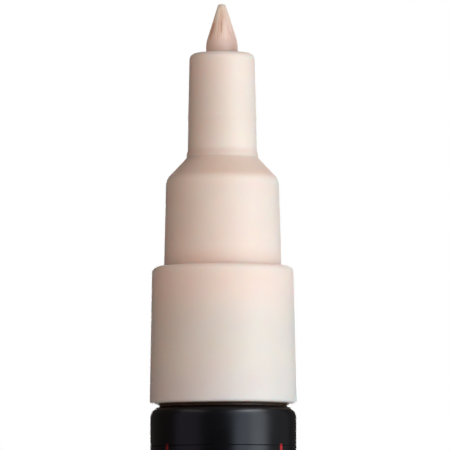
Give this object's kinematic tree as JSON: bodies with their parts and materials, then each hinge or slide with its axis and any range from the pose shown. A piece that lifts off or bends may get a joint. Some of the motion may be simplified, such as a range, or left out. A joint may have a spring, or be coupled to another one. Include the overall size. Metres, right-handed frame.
{
  "type": "paint marker",
  "caption": "Valve-action paint marker with a conical fibre nib, a stepped front holder, a round barrel with a loose mixing ball, and a clip cap posted on its tail.",
  "frame": {"origin": "middle of the flat closed end of the cap, which the marker stands on", "axes": "+Z along the marker towards the nib, -Y towards the cap's clip"},
  "size_m": [0.0116, 0.0137, 0.1517],
  "materials": {
    "nib_fibre": "bonded fibre soaked with beige paint",
    "holder_plastic": "moulded translucent polypropylene, satin",
    "barrel_plastic": "moulded black polypropylene, satin gloss",
    "cap_plastic": "moulded beige polypropylene, satin",
    "valve_plastic": "moulded natural plastic",
    "seal_rubber": "moulded black rubber",
    "spring_steel": "drawn stainless steel wire",
    "ball_steel": "polished stainless steel"
  },
  "bodies": {
    "cap": {"cap_shell": "cap_plastic", "cap_liner": "valve_plastic"},
    "marker": {"barrel": "barrel_plastic", "front_holder": "holder_plastic", "tail_plug": "cap_plastic", "valve_body": "valve_plastic", "valve_seal": "seal_rubber", "valve_spring": "spring_steel", "spring_retainer": "valve_plastic"},
    "nib": {"nib": "nib_fibre", "valve_stem": "valve_plastic"},
    "ball": {"mixing_ball": "ball_steel"}
  },
  "joints": [
    {"name": "cap_pull", "type": "slide", "parent": "cap", "child": "marker", "axis": [0, 0, 1], "range_m": [0, 0.03]},
    {"name": "nib_press", "type": "slide", "parent": "marker", "child": "nib", "axis": [0, 0, -1], "range_m": [0, 0.0016], "stiffness_N_per_m": 600, "springref_m": -0.0008, "deforming": ["valve_spring"]},
    {"name": "ball_rattle", "type": "slide", "parent": "marker", "child": "ball", "axis": [0, 0, 1], "range_m": [0, 0.083]}
  ]
}
